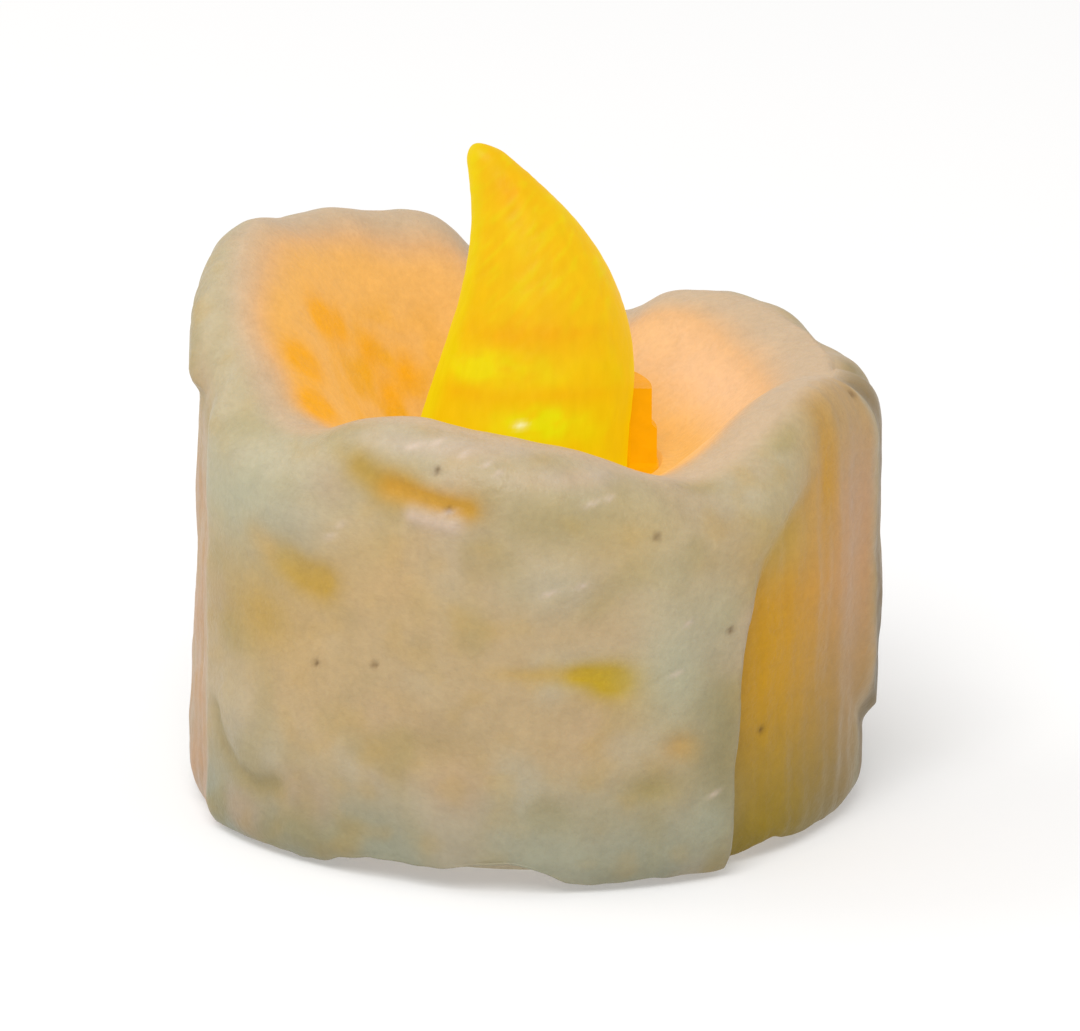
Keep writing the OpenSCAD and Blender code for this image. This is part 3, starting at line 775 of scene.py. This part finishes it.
def painted(tree, bsdf, mottle):
    """Base and emission colours from the mesh's painted tint and glow; what glows is taken off the base."""
    tint = node(tree, "Attribute", attribute_name="tint").outputs["Color"]
    glow = node(tree, "Attribute", attribute_name="glow").outputs["Fac"]
    tint = times(tree, tint, mottle)
    left = node(tree, "Math", operation="MULTIPLY_ADD")
    tree.links.new(glow, left.inputs[0])
    left.inputs[1].default_value = -1 / STUDIO_LIGHT
    left.inputs[2].default_value = 1 / STUDIO_LIGHT
    tree.links.new(times(tree, tint, left.outputs["Value"]), bsdf.inputs["Base Color"])
    tree.links.new(times(tree, tint, glow), bsdf.inputs["Emission Color"])
    bsdf.inputs["Emission Strength"].default_value = 1.0


def wax_material():
    material, tree, bsdf = shader("wax")
    coarse, fine, tiny = grain(tree, 700), grain(tree, 2600), grain(tree, 6000)
    mottle = node(tree, "Math", operation="ADD")
    tree.links.new(spread(tree, coarse, 0.455, 0.535), mottle.inputs[0])
    tree.links.new(spread(tree, fine, 0.46, 0.54), mottle.inputs[1])
    painted(tree, bsdf, mottle.outputs["Value"])
    tree.links.new(spread(tree, coarse, 0.36, 0.52), bsdf.inputs["Roughness"])
    dent(tree, bsdf, (coarse, 0.00012), (fine, 0.00005), (tiny, 0.00002))
    bsdf.inputs["Subsurface Weight"].default_value = 0.15
    bsdf.inputs["Subsurface Radius"].default_value = (1.0, 0.6, 0.3)
    bsdf.inputs["Subsurface Scale"].default_value = 0.001
    bsdf.inputs["Specular IOR Level"].default_value = 0.25
    return material


def flame_material():
    material, tree, bsdf = shader("flame")
    fine = grain(tree, 1500, stretch=(1, 1, 0.4))
    painted(tree, bsdf, spread(tree, fine, 0.97, 1.03))
    tree.links.new(spread(tree, fine, 0.42, 0.55), bsdf.inputs["Roughness"])
    dent(tree, bsdf, (fine, 0.00006))
    bsdf.inputs["Specular IOR Level"].default_value = 0.12
    return material


def plain_material(name, colour, roughness, metallic=0.0, size=900, bumps=0.00004, contrast=0.08,
                   stretch=(1, 1, 1), glow=0.0, share=1.0, specular=0.5):
    """Moulded plastic, sheet metal and the like: a colour with slight blotches, and grain in gloss and
    relief. share is how much of the colour is left to the studio light, and glow how much of it shines."""
    material, tree, bsdf = shader(name)
    coarse = grain(tree, size, stretch=stretch)
    fine = grain(tree, size * FINE_GRAIN, stretch=stretch)
    paint = node(tree, "CombineXYZ", **dict(zip("XYZ", linear(colour))))
    tint = times(tree, paint.outputs["Vector"], spread(tree, coarse, 1 - contrast, 1 + contrast))
    tree.links.new(times(tree, tint, share), bsdf.inputs["Base Color"])
    if glow:
        tree.links.new(tint, bsdf.inputs["Emission Color"])
        bsdf.inputs["Emission Strength"].default_value = glow
    gloss = spread(tree, fine, roughness - GLOSS_CHANGE, roughness + GLOSS_CHANGE)
    tree.links.new(gloss, bsdf.inputs["Roughness"])
    dent(tree, bsdf, (coarse, bumps), (fine, bumps * FINE_BUMPS))
    bsdf.inputs["Metallic"].default_value = metallic
    bsdf.inputs["Specular IOR Level"].default_value = specular
    return material


# The fine grain of a plain material is this much finer than its blotches, and its bumps this much lower
FINE_GRAIN, FINE_BUMPS = 5, 0.25
GLOSS_CHANGE = 0.07
BRUSHED = (1, 8, 1)
FINELY_BRUSHED = (1, 12, 1)
PLAIN_FINISHES = {
    "collar": dict(colour=(249, 166, 0), roughness=0.45, contrast=0.05, glow=0.7, share=0.25, specular=0.1),
    "led": dict(colour=(255, 214, 110), roughness=0.12, bumps=0.00001, contrast=0.03, glow=1.5),
    "tinned": dict(colour=(205, 205, 200), roughness=0.24, metallic=1.0, size=1200, bumps=0.00002),
    "white_plastic": dict(colour=(228, 226, 218), roughness=0.45, size=1400, bumps=0.00002),
    "core_plastic": dict(colour=(222, 212, 184), roughness=0.5, size=1600, bumps=0.00003, contrast=0.05),
    "board": dict(colour=(22, 92, 52), roughness=0.3, size=600, bumps=0.00001, contrast=0.15),
    "black_plastic": dict(colour=(34, 34, 36), roughness=0.48, size=1800, contrast=0.2),
    "ceramic": dict(colour=(176, 146, 108), roughness=0.55, size=1500, bumps=0.00001),
    "steel": dict(colour=(178, 177, 172), roughness=0.3, metallic=1.0, size=700, bumps=0.00001,
                  contrast=0.1, stretch=BRUSHED),
    "phenolic": dict(colour=(122, 78, 42), roughness=0.5, size=900, contrast=0.18),
    "cell_steel": dict(colour=(196, 196, 194), roughness=0.26, metallic=1.0, size=500, bumps=0.00001,
                       contrast=0.07, stretch=FINELY_BRUSHED),
    "gasket": dict(colour=(40, 40, 42), roughness=0.6, size=1500, contrast=0.15),
    "screw_steel": dict(colour=(186, 186, 182), roughness=0.3, metallic=1.0, size=1100, bumps=0.00002,
                        contrast=0.1),
}


# ---- the scene ----

wax = make_wax()
flame = make_flame()
finishes = {"wax": wax_material(), "flame": flame_material()}
for finish, look in PLAIN_FINISHES.items():
    finishes[finish] = plain_material(finish, **look)
for made, slot_name, replaced in ((wax, "wax", "wax_shell"), (flame, "flame", "flame_cap")):
    made.data.materials.append(finishes[slot_name])
    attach(made, "candle")
    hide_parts(replaced)

for part in frame["record"]["subparts"]:
    shown = frame["nodes"][part["node"]]
    for slot in shown.material_slots:
        slot.material = finishes[part["material_slot"]]

# CAD pieces whose edges are rounded, and by how much
SOFT_EDGES = {
    "base_plate": 0.10, "battery_door": 0.10, "core_housing": 0.10, "switch_knob": 0.08, "flame_collar": 0.25,
}
for name, width in SOFT_EDGES.items():
    bevel = frame["nodes"][name].modifiers.new("soft_edges", "BEVEL")
    bevel.width = width * MM
    bevel.segments = 2
    bevel.limit_method = "ANGLE"
    bevel.angle_limit = math.radians(40)
    bevel.harden_normals = True

# The floor's half-width in metres, how far it lies under the foot, and how much of its light goes through it
FLOOR_HALF = 3.0
FLOOR_Z = -0.05 * MM
FLOOR_OPAL = 0.45
WHITE = (1.0, 1.0, 1.0, 1.0)


def make_floor():
    """A pale opal sheet: it takes soft shadows, lets some light up from below, and is clear from
    underneath. It lies just under the foot, so that the two don't coincide."""
    mesh = bpy.data.meshes.new("floor")
    corners = [(x * FLOOR_HALF, y * FLOOR_HALF, FLOOR_Z) for x, y in ((-1, -1), (1, -1), (1, 1), (-1, 1))]
    mesh.from_pydata(corners, [], [(0, 1, 2, 3)])
    floor = bpy.data.objects.new("floor", mesh)
    bpy.context.scene.collection.objects.link(floor)
    material, tree, bsdf = shader("floor")
    tree.nodes.remove(bsdf)
    output = tree.nodes["Material Output"]
    top = node(tree, "MixShader", Fac=FLOOR_OPAL)
    both = node(tree, "MixShader")
    diffuse = node(tree, "BsdfDiffuse", Color=WHITE)
    opal = node(tree, "BsdfTranslucent", Color=WHITE)
    clear = node(tree, "BsdfTransparent")
    under = node(tree, "NewGeometry")
    tree.links.new(diffuse.outputs[0], top.inputs[1])
    tree.links.new(opal.outputs[0], top.inputs[2])
    tree.links.new(under.outputs["Backfacing"], both.inputs[0])
    tree.links.new(top.outputs[0], both.inputs[1])
    tree.links.new(clear.outputs[0], both.inputs[2])
    tree.links.new(both.outputs[0], output.inputs["Surface"])
    mesh.materials.append(material)


def make_light(name, where, power, size):
    """A square lamp that faces the candle; places and sizes are in metres, power in watts."""
    lamp = bpy.data.lights.new(name, "AREA")
    lamp.energy, lamp.size = power, size
    holder = bpy.data.objects.new(name, lamp)
    holder.location = where
    holder.rotation_euler = (-Vector(where)).to_track_quat("-Z", "Y").to_euler()
    bpy.context.scene.collection.objects.link(holder)


def make_world():
    world = bpy.data.worlds.new("studio")
    world.use_nodes = True
    world.node_tree.nodes["Background"].inputs["Color"].default_value = (1.0, 0.99, 0.98, 1.0)
    world.node_tree.nodes["Background"].inputs["Strength"].default_value = 0.72
    bpy.context.scene.world = world


def make_camera():
    camera = bpy.data.objects.new("camera", bpy.data.cameras.new("camera"))
    camera.location = (0, -0.4267, 0.1428)
    aim = Vector((0.00023, 0, 0.016))
    camera.rotation_euler = (aim - camera.location).to_track_quat("-Z", "Y").to_euler()
    camera.data.lens = 259.5
    camera.data.sensor_width = 36
    camera.data.clip_start = 0.01
    bpy.context.scene.collection.objects.link(camera)
    bpy.context.scene.camera = camera


make_floor()
make_light("key", where=(-0.12, -0.52, 0.62), power=5.0, size=0.45)
make_light("side_light", where=(-0.5, 0.2, 0.45), power=1.2, size=0.4)
make_world()
make_camera()
bpy.context.scene.view_settings.view_transform = "Standard"
